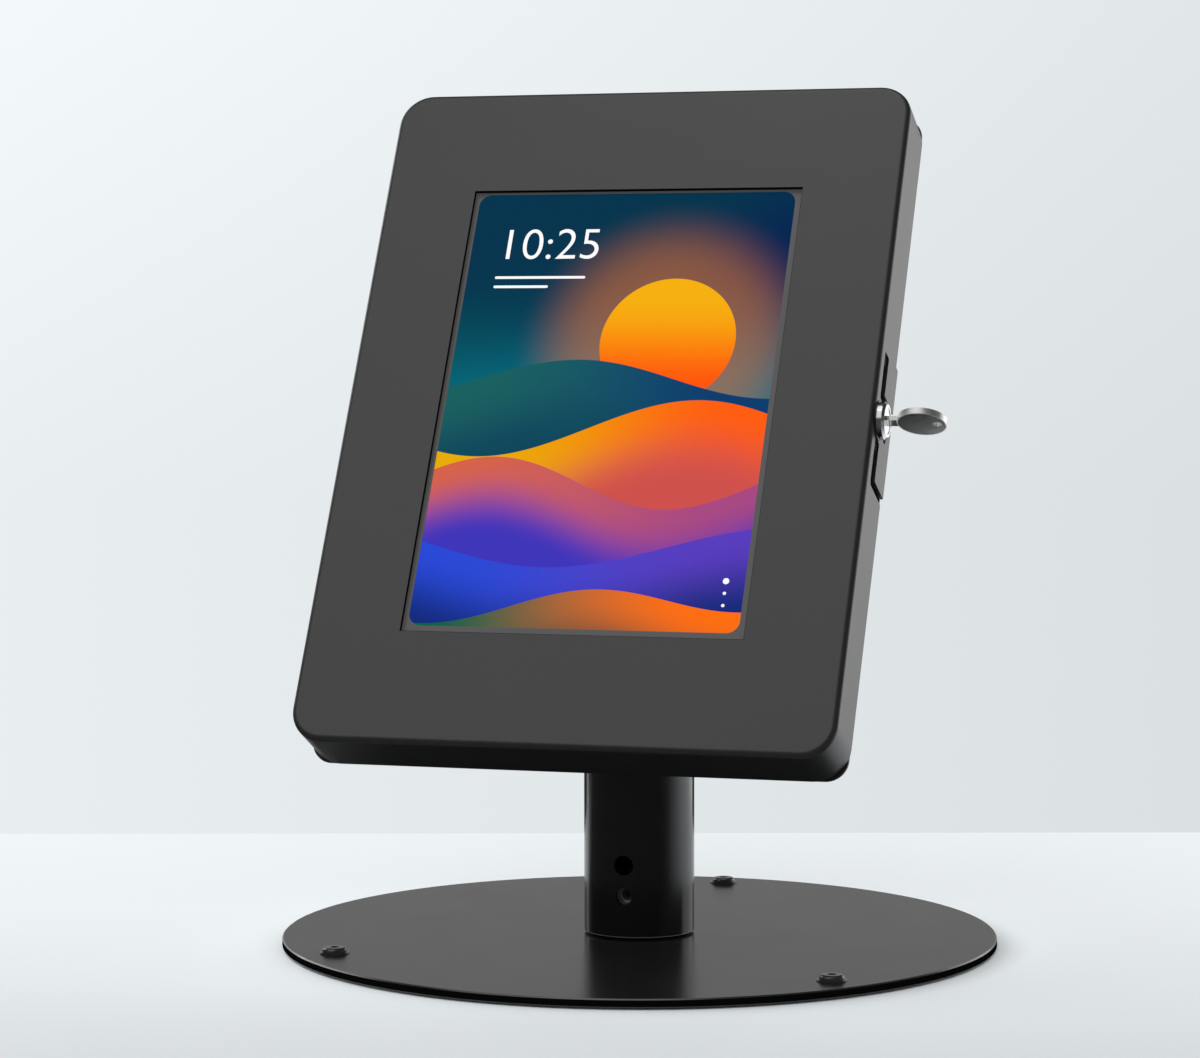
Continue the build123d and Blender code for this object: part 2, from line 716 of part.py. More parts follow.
with BuildPart() as backer_screws:
    for x, up in standoff_points:
        head_height = backer_thickness - slip_gap
        flat_head_screw(face_axis(x, up, backer_front), backer_screw_radius, backer_screw_reach,
                        backer_screw_head_radius, head_height,
                        backer_screw_socket_radius, backer_screw_socket_depth)
save(backer_screws, "backer_screws")

with BuildPart() as foam_pads:
    for side in (-1, 1):
        pad_up = tablet_up + side * tablet_height * foam_up_share
        pad_ups = (pad_up - foam_height / 2, pad_up + foam_height / 2)
        pad_x = (tablet_x - foam_width / 2, tablet_x + foam_width / 2)
        panel_box(pad_x, pad_ups, (case_back, backer_front))
save(foam_pads, "foam_pads")

lip_front = tablet_front - slip_gap - clip_lip_thickness
with BuildPart() as edge_clips:
    for across, along, x, up in clips:
        half = clip_length / 2
        for low, high, front, back in (
            (0, clip_sheet, lip_front, backer_front),
            (-free_gap - clip_lip_reach, clip_sheet, lip_front, lip_front + clip_lip_thickness),
            (0, clip_sheet + clip_foot, backer_front - clip_sheet, backer_front),
        ):
            if across:
                panel_box((x + across * low, x + across * high), (up - half, up + half), (front, back))
            else:
                panel_box((x - half, x + half), (up + along * low, up + along * high), (front, back))
    for x, up in clip_screw_points:
        standing(face_axis(x, up, backer_front), clip_screw_radius + slip_gap, clip_sheet, Mode.SUBTRACT)
save(edge_clips, "edge_clips")

with BuildPart() as clip_screws:
    for x, up in clip_screw_points:
        screw(face_axis(x, up, backer_front - clip_sheet), clip_screw_radius, clip_sheet + backer_thickness,
              clip_screw_head_radius, clip_screw_head_height,
              clip_screw_socket_radius, clip_screw_socket_depth)
save(clip_screws, "clip_screws")

# Tablet
with BuildPart() as tablet_case:
    with BuildSketch(face_axis(tablet_x, tablet_up, case_back)):
        RectangleRounded(tablet_width, tablet_height, tablet_corner)
    extrude(amount=tablet_case_thickness)
    rear_face = tablet_case.faces().sort_by(Axis((0, 0, 0), face_normal))[0]
    fillet(rear_face.edges(), radius=tablet_case_round)
save(tablet_case, "tablet_case")

with BuildPart() as tablet_bezel:
    with BuildSketch(face_axis(tablet_x, tablet_up, case_front)):
        RectangleRounded(tablet_width - 2 * free_gap, tablet_height - 2 * free_gap, tablet_corner - free_gap)
        RectangleRounded(screen_width, screen_height, screen_corner, mode=Mode.SUBTRACT)
    extrude(amount=tablet_glass_thickness)
save(tablet_bezel, "tablet_bezel")

with BuildPart() as tablet_screen:
    with BuildSketch(face_axis(tablet_x, tablet_up, case_front)):
        RectangleRounded(screen_width - 2 * slip_gap, screen_height - 2 * slip_gap, screen_corner - slip_gap)
    extrude(amount=tablet_glass_thickness - screen_sink)
save(tablet_screen, "tablet_screen")

# Front cover
lock_axis = side_axis(half_width, lock_up, lock_depth)
with BuildPart() as front_cover:
    with BuildSketch(face_axis(0, 0, enclosure_depth)):
        RectangleRounded(enclosure_width, enclosure_height, enclosure_corner)
    extrude(amount=enclosure_depth)
    face = front_cover.faces().sort_by(Axis((0, 0, 0), face_normal))[-1]
    fillet(face.edges(), radius=enclosure_edge_round)
    with BuildSketch(face_axis(0, 0, enclosure_depth + overrun)):
        RectangleRounded(2 * wall_inner, enclosure_height - 2 * cover_sheet, enclosure_corner - cover_sheet)
    extrude(amount=enclosure_depth + overrun - cover_sheet, mode=Mode.SUBTRACT)
    panel_box(window_x, (window_low, window_high), (-overrun, cover_sheet + overrun), Mode.SUBTRACT)
    with BuildSketch(side_axis(wall_inner, 0, enclosure_depth)):
        with BuildLine():
            tab_low = ((tab_bottom, 0), (tab_bottom, -tab_depth))
            tab_high = ((tab_top - tab_slope, -tab_depth), (tab_top, 0))
            Polyline(*tab_low, *tab_high, close=True)
        make_face()
    extrude(amount=cover_sheet)
    for side in (-1, 1):
        for top, bend in zip(slot_tops, bend_ups):
            run_length = top - bend + slot_leg_width / 2
            leg_reach = enclosure_depth + tab_depth + overrun - slot_depth
            rearward = Align.MAX if side > 0 else Align.MIN
            with BuildSketch(side_axis(side * half_width, 0, slot_depth, side)) as slot:
                with Locations((bend - slot_leg_width / 2, 0)):
                    Rectangle(run_length, slot_run_width, align=(Align.MIN, Align.CENTER))
                with Locations((bend, 0)):
                    Rectangle(slot_leg_width, leg_reach, align=(Align.CENTER, rearward))
                fillet(slot.vertices().group_by(Axis.X)[-1], radius=slot_end_round)
                outer_corner = slot.vertices().group_by(Axis.X)[0].sort_by(Axis.Y)[-1 if side > 0 else 0]
                fillet(outer_corner, radius=slot_corner_round)
            extrude(amount=-cover_sheet, mode=Mode.SUBTRACT)
    standing(lock_axis, lock_barrel_radius + slip_gap, -cover_sheet, Mode.SUBTRACT)
    with BuildSketch(side_axis(half_width, side_slot_up + side_slot_rise / 2, side_slot_depth)):
        SlotCenterToCenter(side_slot_rise, 2 * side_slot_half_width)
    extrude(amount=-cover_sheet, mode=Mode.SUBTRACT)
save(front_cover, "front_cover")

# Lock
with BuildPart() as lock_washer:
    standing(lock_axis, lock_washer_radius, lock_washer_thickness)
    standing(lock_axis, lock_barrel_radius + slip_gap, lock_washer_thickness, Mode.SUBTRACT)
save(lock_washer, "lock_washer")

lock_seat_plane = side_axis(lock_seat, lock_up, lock_depth)
lock_face_plane = side_axis(lock_face, lock_up, lock_depth)
face_pocket = plug_face_thickness + plug_face_sink
with BuildPart() as lock_body:
    standing(lock_seat_plane, lock_head_radius, lock_head_height)
    chamfer(lock_body.edges().sort_by(Axis.X)[-1], length=lock_head_bevel)
    standing(lock_seat_plane, lock_barrel_radius, -lock_barrel_length)
    bore_length = lock_head_height + lock_barrel_length
    standing(lock_face_plane, plug_core_radius + running_fit, -bore_length, Mode.SUBTRACT)
    standing(lock_face_plane, plug_face_radius + running_fit, -face_pocket, Mode.SUBTRACT)
save(lock_body, "lock_body")

with BuildPart() as lock_nut:
    with BuildSketch(side_axis(wall_inner - lock_nut_height, lock_up, lock_depth)):
        RegularPolygon(lock_nut_flats / 2, side_count=6, major_radius=False, rotation=0)
        Circle(lock_barrel_radius + slip_gap, mode=Mode.SUBTRACT)
    extrude(amount=lock_nut_height)
save(lock_nut, "lock_nut")

# Plug that the key turns, with its cam
plug_face_plane = side_axis(plug_face, lock_up, lock_depth)
plug_end_plane = side_axis(plug_end, lock_up, lock_depth)
with BuildPart() as lock_plug:
    standing(plug_face_plane, plug_face_radius, -plug_face_thickness)
    standing(plug_face_plane, plug_core_radius, plug_end - plug_face)
    with BuildSketch(plug_face_plane):
        Rectangle(key_thickness + 2 * slip_gap, key_blade_height + 2 * slip_gap)
    extrude(amount=-keyway_length, mode=Mode.SUBTRACT)
    thread_length = cam_screw_length - cam_thickness + slip_gap
    standing(plug_end_plane, cam_screw_radius + slip_gap, thread_length, Mode.SUBTRACT)
save(lock_plug, "lock_plug")

with BuildPart() as lock_cam:
    with BuildSketch(plug_end_plane):
        Circle(cam_half_width)
        Rectangle(cam_reach, 2 * cam_half_width, align=(Align.MAX, Align.CENTER))
        Circle(cam_screw_radius + slip_gap, mode=Mode.SUBTRACT)
    extrude(amount=-cam_thickness)
save(lock_cam, "lock_cam")

with BuildPart() as cam_screw:
    cam_seat = side_axis(plug_end - cam_thickness, lock_up, lock_depth, -1)
    screw(cam_seat, cam_screw_radius, cam_screw_length, cam_screw_head_radius, cam_screw_head_height,
          cam_screw_socket_radius, cam_screw_socket_depth)
save(cam_screw, "cam_screw")

# Key: local x runs out of the lock, local y to the rear
key_origin = face_plane.from_local_coords((plug_face, lock_up - key_thickness / 2, -lock_depth))
key_plane = Plane(origin=key_origin, x_dir=(1, 0, 0), z_dir=face_up)
bow_x = half_width + key_bow_offset - plug_face
notch_pitch = key_engaged / (key_notch_count + 1)
with BuildPart() as key:
    with BuildSketch(key_plane):
        with Locations((-key_engaged, 0)):
            Rectangle(key_engaged + bow_x, key_blade_height, align=(Align.MIN, Align.CENTER))
        for index in range(key_notch_count):
            notch_x = -key_engaged + notch_pitch * (index + 1)
            with BuildLine():
                notch_start = (notch_x - key_notch_depth, key_blade_height / 2)
                notch_foot = (notch_x, key_blade_height / 2 - key_notch_depth)
                notch_end = (notch_x + key_notch_depth, key_blade_height / 2)
                Polyline(notch_start, notch_foot, notch_end, close=True)
            make_face(mode=Mode.SUBTRACT)
    extrude(amount=key_thickness)
    with BuildSketch(key_plane.offset((key_thickness - key_bow_thickness) / 2)):
        with Locations((bow_x, 0)):
            Circle(key_bow_radius)
    extrude(amount=key_bow_thickness)
    with BuildSketch(key_plane.offset(-key_bow_thickness)):
        with Locations((bow_x + key_ring_hole_offset, 0)):
            Circle(key_ring_hole_radius)
    extrude(amount=key_thickness + 2 * key_bow_thickness, mode=Mode.SUBTRACT)
    bow_rims = key.edges().filter_by(GeomType.CIRCLE).sort_by(SortBy.RADIUS)[-2:]
    chamfer(bow_rims, length=key_bow_bevel)
    tip_corners = key.edges().filter_by(Axis((0, 0, 0), face_up)).group_by(Axis.X)[0]
    chamfer(tip_corners, length=key_tip_bevel)
save(key, "key")
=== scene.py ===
# %% [markdown]
# # A tablet security kiosk stand
#
# The stand is sheet steel and tube with a fine powder coat: a round base, a post, and a flat enclosure
# that locks a tablet in. The measured solids come in as a fixed frame. This lesson dresses them: it gives
# every part its finish, models the small trim that the frame leaves out, and then sets up the stage, the
# lamps and the camera.

# %% Load the measured parts
import json
import math

import bpy
from mathutils import Matrix, Vector


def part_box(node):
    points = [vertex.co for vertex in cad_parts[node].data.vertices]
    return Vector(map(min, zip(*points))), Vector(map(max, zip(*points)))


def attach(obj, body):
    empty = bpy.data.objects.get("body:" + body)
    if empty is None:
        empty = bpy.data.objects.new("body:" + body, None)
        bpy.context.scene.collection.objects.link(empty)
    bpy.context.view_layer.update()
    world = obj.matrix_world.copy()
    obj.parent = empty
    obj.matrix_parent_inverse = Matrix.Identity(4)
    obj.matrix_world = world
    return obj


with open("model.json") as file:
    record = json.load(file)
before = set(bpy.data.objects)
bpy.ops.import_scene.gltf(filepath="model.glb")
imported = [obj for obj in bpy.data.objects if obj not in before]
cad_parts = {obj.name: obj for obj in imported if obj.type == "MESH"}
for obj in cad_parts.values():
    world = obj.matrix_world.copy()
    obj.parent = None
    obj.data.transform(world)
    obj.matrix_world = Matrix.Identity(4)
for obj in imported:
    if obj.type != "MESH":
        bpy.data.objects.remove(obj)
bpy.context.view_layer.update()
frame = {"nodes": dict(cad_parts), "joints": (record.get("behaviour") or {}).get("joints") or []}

# %% [markdown]
# ## Where the tilted face lies
#
# The face leans back, so its pieces are easier to place with a frame of their own: x to the right, y up
# the face and z out of it. The joints know the two directions. The turntable's axis is the face's normal,
# and the cover slides straight up the face. Sizes below are in millimetres, and one named unit turns them
# into metres.

# %% The face's own frame
MM = 0.001
joints = {joint["name"]: joint for joint in frame["joints"]}
face_out = Vector(joints["enclosure_turn"]["axis"]).normalized()
face_up = Vector(joints["cover_slide"]["axis"]).normalized()
face_right = face_up.cross(face_out)
lean_turn = (math.atan2(face_up.z, face_up.y), 0.0, 0.0)
screen_low, screen_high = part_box("tablet_screen")
screen_middle = (Vector(screen_low) + Vector(screen_high)) / 2
screen_half_thickness = 0.375 * MM
screen_front = screen_middle + face_out * screen_half_thickness


def face_matrix(origin):
    """Places something drawn flat at the origin onto a plane parallel to the face."""
    columns = Matrix((face_right, face_up, face_out)).transposed().to_4x4()
    return Matrix.Translation(origin) @ columns


print("lean from the vertical", round(90 - math.degrees(lean_turn[0]), 2))

# %% [markdown]
# ## Nodes, wired by short helpers
#
# A finish is a small network: coordinates go into noise, noise nudges the colour, the roughness and the
# bump. The helpers below only save typing. Values that are the same all over a surface are set on the
# shader's own sockets, so that they also survive an export.

# %% Helpers for node networks


def wire(tree, value, socket):
    """Joins an output to a socket, or sets the socket where the value is plain."""
    if isinstance(value, bpy.types.NodeSocket):
        tree.links.new(value, socket)
    else:
        socket.default_value = value


def compute(tree, operation, *values):
    """One Math node."""
    node = tree.nodes.new("ShaderNodeMath")
    node.operation = operation
    for value, socket in zip(values, node.inputs):
        wire(tree, value, socket)
    return node.outputs[0]


def tint(tree, share, low, high):
    """Mixes two colours by a share."""
    node = tree.nodes.new("ShaderNodeMix")
    node.data_type = "RGBA"
    for value, index in ((share, 0), (low, 6), (high, 7)):
        wire(tree, value, node.inputs[index])
    return node.outputs[2]


def spread(tree, value, low, high):
    """Moves a 0 to 1 value into another range."""
    node = tree.nodes.new("ShaderNodeMapRange")
    wire(tree, value, node.inputs["Value"])
    node.inputs["To Min"].default_value = low
    node.inputs["To Max"].default_value = high
    return node.outputs["Result"]


def object_place(tree):
    """The Object coordinates of a material."""
    return tree.nodes.new("ShaderNodeTexCoord").outputs["Object"]


def parts_of(tree, vector):
    """Splits a vector into its X, Y and Z."""
    axes = tree.nodes.new("ShaderNodeSeparateXYZ")
    tree.links.new(vector, axes.inputs["Vector"])
    return axes.outputs


def seen_from(tree, location, rotation, scale):
    """Object coordinates measured from this place, along turned axes and in these units."""
    mapping = tree.nodes.new("ShaderNodeMapping")
    mapping.vector_type = "TEXTURE"
    mapping.inputs["Location"].default_value = location
    mapping.inputs["Rotation"].default_value = rotation
    mapping.inputs["Scale"].default_value = scale
    tree.links.new(object_place(tree), mapping.inputs["Vector"])
    return mapping.outputs["Vector"]


def combine(tree, operation, *values, output=0):
    """One Vector Math node."""
    node = tree.nodes.new("ShaderNodeVectorMath")
    node.operation = operation
    for value, socket in zip(values, node.inputs):
        wire(tree, value, socket)
    return node.outputs[output]


def ramp(tree, value, low, high, kind="LINEAR"):
    """0 below low and 1 above high."""
    node = tree.nodes.new("ShaderNodeMapRange")
    node.interpolation_type = kind
    wire(tree, value, node.inputs["Value"])
    node.inputs["From Min"].default_value = low
    node.inputs["From Max"].default_value = high
    return node.outputs["Result"]


def grain(tree, size, detail=2.0, stretch=(1.0, 1.0, 1.0), turn=(0.0, 0.0, 0.0)):
    """Noise whose lumps are about this many metres across."""
    noise = tree.nodes.new("ShaderNodeTexNoise")
    noise.inputs["Scale"].default_value = 1.0
    noise.inputs["Detail"].default_value = detail
    place = seen_from(tree, (0.0, 0.0, 0.0), turn, [size * axis for axis in stretch])
    tree.links.new(place, noise.inputs["Vector"])
    return noise.outputs["Fac"]


def clamp(tree, value):
    """Keeps a value between 0 and 1."""
    return compute(tree, "MAXIMUM", compute(tree, "MINIMUM", value, 1.0), 0.0)


def grey(level):
    """Neutral colour from its value on screen, 0 to 255."""
    share = level / 255
    linear = share / 12.92 if share <= 0.04045 else ((share + 0.055) / 1.055) ** 2.4
    return (linear, linear, linear, 1.0)


def colour(red, green, blue):
    """Colour from its values on screen, 0 to 255."""
    return (grey(red)[0], grey(green)[0], grey(blue)[0], 1.0)


def new_finish(name):
    """Material with a plain shader, and its node tree."""
    material = bpy.data.materials.new(name)
    material.use_nodes = True
    tree = material.node_tree
    return material, tree, tree.nodes["Principled BSDF"]


def roughen(tree, shader, height, depth, strength=1.0):
    """Adds a bump of this depth in metres."""
    bump = tree.nodes.new("ShaderNodeBump")
    bump.inputs["Strength"].default_value = strength
    bump.inputs["Distance"].default_value = depth
    tree.links.new(height, bump.inputs["Height"])
    tree.links.new(bump.outputs["Normal"], shader.inputs["Normal"])


# %% [markdown]
# ## Powder coat
#
# The steel is sprayed with dry powder and baked, which leaves a satin skin with a fine orange-peel grain.
# The grain is far smaller than a pixel here, so it is a shallow bump of noise, with a slower noise that
# makes the gloss vary a little from place to place. The base, the post and the cover have the same paint
# at different gloss.

# %% Powder coats
cloud_size = 45 * MM
tone_swing = 1.5
gloss_swing = 0.02
peel_strength = 0.6


def powder_coat(name, level, gloss, shine=0.5, peel=0.7 * MM, depth=0.006 * MM):
    """Baked paint over steel."""
    material, tree, shader = new_finish(name)
    slow = grain(tree, cloud_size)
    fine = grain(tree, peel, detail=3.0)
    tone = tint(tree, slow, grey(level - tone_swing), grey(level + tone_swing))
    wire(tree, tone, shader.inputs["Base Color"])
    wire(tree, spread(tree, slow, gloss - gloss_swing, gloss + gloss_swing), shader.inputs["Roughness"])
    shader.inputs["Specular IOR Level"].default_value = shine
    roughen(tree, shader, fine, depth, peel_strength)
    return material


cover_coat = powder_coat("cover_coat", 27, 0.40, shine=1.0)
tray_coat = powder_coat("tray_coat", 27, 0.46)
base_coat = powder_coat("base_coat", 22, 0.22, shine=0.4)
post_coat = powder_coat("post_coat", 8, 0.18, shine=0.9)
print("powder coats", [coat.name for coat in (cover_coat, tray_coat, base_coat, post_coat)])

# %% [markdown]
# ## Edges that catch the light
#
# The edge of the base's top is broken by a narrow chamfer, which shows as a light line, brightest at the
# left. That line is a painted highlight, stronger on the left, and the lower chamfer takes the same painted
# highlight. The side under it is painted nearly black as painted shade, and a thin painted highlight runs
# round the post's foot. These lines are a pixel or two wide. Paint holds them more steadily than lamps
# could, so they are laid over the coat by masks. A mask is 1 inside and 0 outside, and these compare the
# height of a point with the heights of the base.

# %% Painted shade on the base's side, painted highlights on its chamfers and at the post's foot


def below(tree, height):
    """1 under this height in metres, 0 above it."""
    return compute(tree, "LESS_THAN", parts_of(tree, object_place(tree))["Z"], height)


def band(tree, low, high):
    """1 between these heights, 0 elsewhere."""
    return compute(tree, "SUBTRACT", below(tree, high), below(tree, low))


def paint_light_and_shade(tree, share, tone):
    """Lays a colour of painted light and shade over the paint where the share is 1."""
    socket = tree.nodes["Principled BSDF"].inputs["Base Color"]
    wire(tree, tint(tree, share, socket.links[0].from_socket, tone), socket)


base_foot, base_top = (corner[2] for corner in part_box("base_plate"))
chamfer_width = 0.6 * MM
top_skin = 0.03 * MM
highlight_left_of = -0.128
foot_highlight_heights = (1.2 * MM, 1.55 * MM)
painted_shade_side_tone, painted_chamfer_highlight_tone, painted_left_highlight_tone, painted_foot_highlight_tone = grey(8), grey(30), grey(110), grey(96)
top_shine, chamfer_shine = 0.4, 1.0
rim_tree = base_coat.node_tree
under_top_highlight = below(rim_tree, base_top - top_skin)
shaded_side = band(rim_tree, base_foot + chamfer_width, base_top - chamfer_width)
highlit_left = compute(rim_tree, "LESS_THAN", parts_of(rim_tree, object_place(rim_tree))["X"], highlight_left_of)
# Painted highlight on both chamfers, stronger on the left, then painted shade over the side.
paint_light_and_shade(rim_tree, under_top_highlight, tint(rim_tree, highlit_left, painted_chamfer_highlight_tone, painted_left_highlight_tone))
paint_light_and_shade(rim_tree, shaded_side, painted_shade_side_tone)
rim_shine = compute(rim_tree, "MULTIPLY_ADD", shaded_side, -1.0,
                    spread(rim_tree, under_top_highlight, top_shine, chamfer_shine))
wire(rim_tree, rim_shine, rim_tree.nodes["Principled BSDF"].inputs["Specular IOR Level"])
# Painted highlight: a thin light line round the post's foot.
post_tree = post_coat.node_tree
paint_light_and_shade(post_tree, band(post_tree, *(base_top + edge for edge in foot_highlight_heights)), painted_foot_highlight_tone)
print("base side from", round(base_foot, 5), "to", round(base_top, 5))

# %% [markdown]
# ## The window's cut edge
#
# The cover's window is cut through the sheet, and the cut would shine as a light frame round the display,
# where it lies in shade and shows black. The mask is a box round the window, measured from the display's
# middle. Inside it the paint turns black as painted shade and almost loses its shine.

# %% Painted shade: line the cut edge of the window in matt black
screen_half = (78.95, 113.45)
margin_left, margin_right, margin_top, margin_bottom = 2.05, 3.5, 0.6, 4.0
shade_lining = 0.15
shade_lining_shine = 0.02
cover_tree = cover_coat.node_tree
window_axes = parts_of(cover_tree, seen_from(cover_tree, screen_middle, lean_turn, (MM, MM, MM)))
window_shade_mask = 1.0
window_sides = (
    ("X", screen_half[0], margin_left, margin_right),
    ("Y", screen_half[1], margin_bottom, margin_top),
)
for axis, half, low_margin, high_margin in window_sides:
    middle = (high_margin - low_margin) / 2
    reach = half + (high_margin + low_margin) / 2 + shade_lining
    away = compute(cover_tree, "ABSOLUTE", compute(cover_tree, "SUBTRACT", window_axes[axis], middle))
    window_shade_mask = compute(cover_tree, "MULTIPLY", window_shade_mask, compute(cover_tree, "LESS_THAN", away, reach))
cover_shader = cover_tree.nodes["Principled BSDF"]
# Painted shade: the cut edge inside the mask is painted black.
paint_light_and_shade(cover_tree, window_shade_mask, grey(4))
wire(cover_tree, spread(cover_tree, window_shade_mask, 1.0, shade_lining_shine), cover_shader.inputs["Specular IOR Level"])
print("window in mm", round(2 * screen_half[0] + margin_left + margin_right, 2), "by",
      round(2 * screen_half[1] + margin_bottom + margin_top, 2))

# %% [markdown]
# ## Bare metals
#
# The lock's head is polished chrome, the key is nickel with a fine drawn grain, and the fasteners are
# zinc plated or blackened. All are metals, so their colour sits in the reflection, and what tells them
# apart is the roughness.

# %% Metals
dark_lump_share = 0.93
lump_strength = 0.5


def metal(name, tone, low_gloss, high_gloss, size=6 * MM, stretch=(1.0, 1.0, 1.0), depth=0.0,
          turn=(0.0, 0.0, 0.0)):
    """Metal whose roughness wanders between two values."""
    material, tree, shader = new_finish(name)
    lumps = grain(tree, size, stretch=stretch, turn=turn)
    darker = tuple(dark_lump_share * channel for channel in tone[:3]) + (1.0,)
    wire(tree, tint(tree, lumps, darker, tone), shader.inputs["Base Color"])
    wire(tree, spread(tree, lumps, low_gloss, high_gloss), shader.inputs["Roughness"])
    shader.inputs["Metallic"].default_value = 1.0
    if depth:
        roughen(tree, shader, lumps, depth, lump_strength)
    return material


lock_chrome = metal("lock_chrome", (0.84, 0.84, 0.85, 1.0), 0.16, 0.24)
key_nickel = metal("key_nickel", (0.66, 0.65, 0.63, 1.0), 0.10, 0.18, 0.5 * MM, (9.0, 1.0, 1.0), 0.001 * MM,
                   lean_turn)
dark_oxide = metal("dark_oxide", (0.16, 0.16, 0.16, 1.0), 0.30, 0.45, 1.0 * MM, depth=0.003 * MM)
zinc_plate = metal("zinc_plate", (0.62, 0.62, 0.60, 1.0), 0.26, 0.42, 2.5 * MM, depth=0.004 * MM)
case_metal = metal("case_metal", (0.46, 0.46, 0.47, 1.0), 0.34, 0.42, 0.4 * MM, depth=0.004 * MM)
print("metals", [finish.name for finish in (lock_chrome, key_nickel, dark_oxide, zinc_plate, case_metal)])

# %% [markdown]
# ## The key's rim
#
# The rim of a pressed key is a little rounded, so it scatters the light and looks brighter than the flat
# face. Here that brightness is a painted highlight: a lighter nickel on the rim, with a rougher gloss. The
# bow is a disc, and a point belongs to its rim when it lies about one radius from the middle. The mapping
# counts in radii, and across the key's thickness in units so long that the thickness drops out of the
# distance. The edge of the ring hole gets the same painted highlight.

# %% Painted highlight and softer gloss on the key's bow rim
bow_radius = 11.3 * MM
bow_middle = Vector(joints["lock_turn"]["pos_m"])
bow_middle.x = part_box("key")[1][0] - bow_radius
key_tree = key_nickel.node_tree
thickness_ignored = 1000
rim_from, rim_to = 0.97, 1.02
rim_highlight_tone = (0.92, 0.91, 0.90, 1.0)
rim_roughness_added = 0.28
hole_middle = (7.3 * MM / bow_radius, 0.0, 0.0)
hole_reach = 2.1 * MM / bow_radius
bow_scale = (bow_radius, bow_radius * thickness_ignored, bow_radius)
bow_place = seen_from(key_tree, bow_middle, lean_turn, bow_scale)
bow_reach = combine(key_tree, "LENGTH", bow_place, output="Value")
rim_highlight_mask = compute(key_tree, "MULTIPLY", compute(key_tree, "GREATER_THAN", bow_reach, rim_from),
                 compute(key_tree, "LESS_THAN", bow_reach, rim_to))
from_hole = combine(key_tree, "DISTANCE", bow_place, hole_middle, output="Value")
rim_highlight_mask = compute(key_tree, "MAXIMUM", rim_highlight_mask, compute(key_tree, "LESS_THAN", from_hole, hole_reach))
# Painted highlight: the rim and the edge of the ring hole are painted a lighter nickel.
paint_light_and_shade(key_tree, rim_highlight_mask, rim_highlight_tone)
key_gloss = key_tree.nodes["Principled BSDF"].inputs["Roughness"]
softened = compute(key_tree, "MULTIPLY_ADD", rim_highlight_mask, rim_roughness_added, key_gloss.links[0].from_socket)
wire(key_tree, softened, key_gloss)
print("key rim in mm, from", round(rim_from * bow_radius / MM, 2), "to", round(rim_to * bow_radius / MM, 2))

# %% [markdown]
# ## Blackened screws, rubber and plastics
#
# These small parts are blackened steel, rubber, foam and moulded plastic. They differ in their tone,
# their gloss and the size of their grain, and not in how they are made up, so one function builds the
# network for all of them. The tablet's bezel also glows a little. This glow is painted light, which evens
# out the shade on it and keeps it an even grey under its glass.

# %% Blackened screws, rubber, foam and plastics
dark_grain_share = 0.8
grain_gloss_swing = 0.04


def moulded(name, tone, gloss, size, depth, shine=0.5):
    """Plastic, rubber or blackened steel with its own grain."""
    material, tree, shader = new_finish(name)
    lumps = grain(tree, size, detail=3.0)
    darker = tuple(dark_grain_share * channel for channel in tone[:3]) + (1.0,)
    wire(tree, tint(tree, lumps, darker, tone), shader.inputs["Base Color"])
    roughness = spread(tree, lumps, gloss - grain_gloss_swing, gloss + grain_gloss_swing)
    wire(tree, roughness, shader.inputs["Roughness"])
    shader.inputs["Specular IOR Level"].default_value = shine
    roughen(tree, shader, lumps, depth, lump_strength)
    return material


screw_black = moulded("screw_black", grey(44), 0.16, 3.0 * MM, 0.002 * MM, 1.0)
washer_black = moulded("washer_black", grey(14), 0.30, 3.0 * MM, 0.004 * MM)
foot_rubber = moulded("foot_rubber", grey(30), 0.75, 1.2 * MM, 0.03 * MM, 0.3)
foam_black = moulded("foam_black", grey(38), 0.92, 0.9 * MM, 0.12 * MM, 0.15)
carrier_plastic = moulded("carrier_plastic", grey(42), 0.52, 0.8 * MM, 0.02 * MM)
bearing_plastic = moulded("bearing_plastic", grey(214), 0.45, 1.5 * MM, 0.01 * MM)
pin_nylon = moulded("pin_nylon", grey(30), 0.80, 1.0 * MM, 0.01 * MM, 0.1)
bezel_glass = moulded("bezel_glass", grey(58), 0.30, 12 * MM, 0.001 * MM)
bezel_glow_shader = bezel_glass.node_tree.nodes["Principled BSDF"]
# Painted light: the bezel is no lamp, and its glow evens out the shade on it.
bezel_glow_shader.inputs["Emission Color"].default_value = grey(56)
bezel_glow_shader.inputs["Emission Strength"].default_value = 1.0
print("materials so far, with the frame's own", len(bpy.data.materials))

# %% [markdown]
# ## The lit display
#
# A display glows, so its picture goes into the emission of a dark, glossy glass. The picture is a plain
# one drawn with formulas: a sky that runs from navy to teal, a low sun, and five rolling ridges in teal,
# amber, coral, blue and deep green. Every ridge is a sine line. What lies under it takes the ridge's
# colours, which fade with the depth below the line, and the next ridge is laid over it.

# %% The display's glass
smudge_size = 30 * MM
display, picture, glass = new_finish("display")
glass.inputs["Base Color"].default_value = grey(4)
glass.inputs["Specular IOR Level"].default_value = 0.02
glass_smudge = grain(picture, smudge_size)
wire(picture, spread(picture, glass_smudge, 0.10, 0.16), glass.inputs["Roughness"])
picture_axes = parts_of(picture, seen_from(picture, screen_middle, lean_turn, (MM, MM, MM)))
across, height = picture_axes["X"], picture_axes["Y"]
screen_size = Vector(screen_high) - Vector(screen_low)
print("box of the leaning display in mm", [round(side / MM, 1) for side in screen_size])

# %% Helpers for the picture, which counts in millimetres from the display's middle
crest_ends = (-75.0, 75.0)
soft_edge = 0.2


def smooth_step(value, low, high):
    """0 below low, 1 above high, with a soft start and end."""
    return ramp(picture, value, low, high, "SMOOTHERSTEP")


